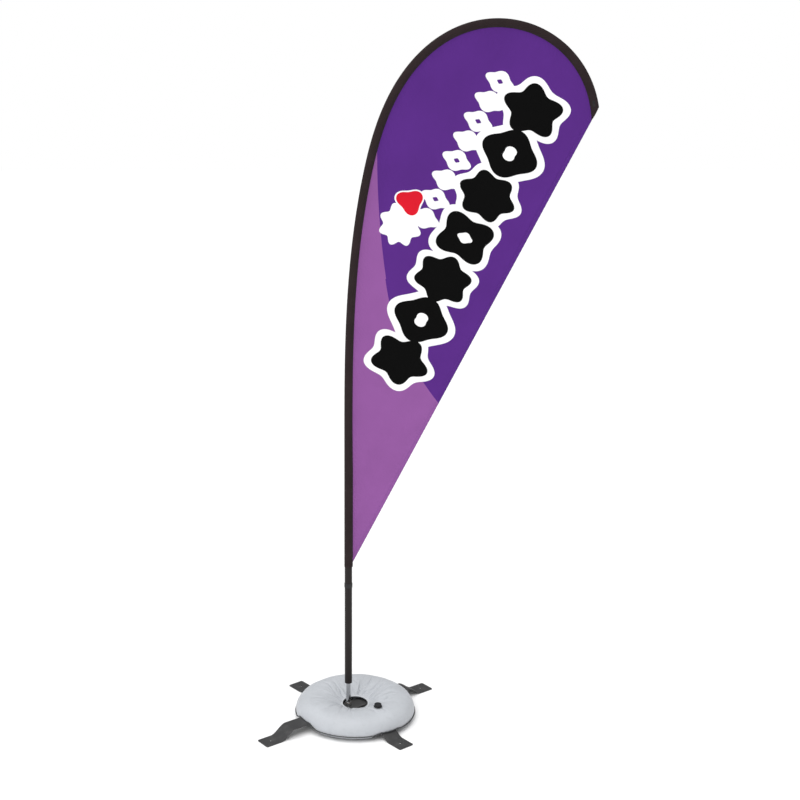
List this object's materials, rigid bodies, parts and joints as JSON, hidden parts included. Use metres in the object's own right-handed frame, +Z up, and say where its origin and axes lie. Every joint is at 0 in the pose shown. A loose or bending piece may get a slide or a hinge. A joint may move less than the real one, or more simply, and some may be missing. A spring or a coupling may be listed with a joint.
{
  "type": "teardrop flag",
  "caption": "Teardrop fabric flag on a bent sectional pole that turns on a bearing spindle, on a folding cross base under a ring water bag.",
  "frame": {"origin": "on the floor, under the middle of the whole flag's box; the spindle's axis stands 0.3008 m from it towards -X", "axes": "+Z up, +X from the pole towards the flag's tip, +Y towards the back"},
  "size_m": [1.3678, 0.6452, 2.9495],
  "materials": {
    "bar_coating": "satin",
    "zinc": "satin",
    "chrome": "polished",
    "bearing_steel": "polished",
    "bronze": "satin",
    "nylon": "matte",
    "black_plastic": "satin",
    "rubber": "matte",
    "pole_coating": "satin",
    "pocket_fabric": "matte",
    "panel_fabric": "matte",
    "hem_fabric": "matte",
    "webbing": "matte",
    "bag_vinyl": "satin",
    "bag_piping": "satin"
  },
  "bodies": {
    "base": {"upper_cross_bar": "bar_coating", "fold_washer": "nylon", "pivot_bolt": "zinc", "spring_washer": "zinc", "clamp_nut": "zinc", "bearing_lower_race": "bearing_steel", "retaining_clip": "zinc"},
    "lower_bar": {"lower_cross_bar": "bar_coating"},
    "ball_cage": {"bearing_cage": "bronze", "bearing_ball_1": "bearing_steel", "bearing_ball_2": "bearing_steel", "bearing_ball_3": "bearing_steel", "bearing_ball_4": "bearing_steel", "bearing_ball_5": "bearing_steel", "bearing_ball_6": "bearing_steel", "bearing_ball_7": "bearing_steel", "bearing_ball_8": "bearing_steel"},
    "spindle": {"bearing_upper_race": "bearing_steel", "spindle_tube": "chrome", "spindle_lower_bush": "bronze", "spindle_upper_bush": "bronze", "spindle_cap": "black_plastic"},
    "pole_and_flag": {"pole_bottom_bush": "black_plastic", "pole_stop_cup": "black_plastic", "pole_section_1": "pole_coating", "pole_section_2": "pole_coating", "pole_section_3": "pole_coating", "pole_section_4": "pole_coating", "stop_collar_1": "black_plastic", "stop_collar_2": "black_plastic", "stop_collar_3": "black_plastic", "pole_tip_cap": "rubber", "pole_pocket": "pocket_fabric", "flag_panel": "panel_fabric", "free_edge_hem": "hem_fabric", "tension_strap": "webbing", "strap_anchor": "black_plastic"},
    "bag": {"water_bag": "bag_vinyl", "bag_outer_seam": "bag_piping", "bag_inner_seam": "bag_vinyl", "filler_neck": "black_plastic", "filler_gasket": "rubber"},
    "cap": {"filler_cap": "black_plastic"}
  },
  "joints": [
    {"name": "base_fold", "type": "hinge", "parent": "base", "child": "lower_bar", "pos_m": [-0.30079, 0, 0.0363], "axis": [0, 0, 1], "range_deg": [-75, 75]},
    {"name": "spindle_spin", "type": "hinge", "parent": "base", "child": "spindle", "pos_m": [-0.30079, 0, 0.057], "axis": [0, 0, 1], "continuous": true},
    {"name": "cage_spin", "type": "hinge", "parent": "base", "child": "ball_cage", "pos_m": [-0.30079, 0, 0.057], "axis": [0, 0, 1], "continuous": true},
    {"name": "pole_lift", "type": "slide", "parent": "spindle", "child": "pole_and_flag", "axis": [0, 0, 1], "range_m": [0, 0.16]},
    {"name": "bag_lift", "type": "slide", "parent": "base", "child": "bag", "axis": [0, 0, 1], "range_m": [0, 0.3]},
    {"name": "filler_cap_turn", "type": "hinge", "parent": "bag", "child": "cap", "pos_m": [-0.17413, -0.12372, 0.105], "axis": [0, 0, 1], "range_deg": [0, 360]}
  ],
  "couplings": [
    {"joint": "cage_spin", "follows": "spindle_spin", "ratio": 0.5}
  ]
}
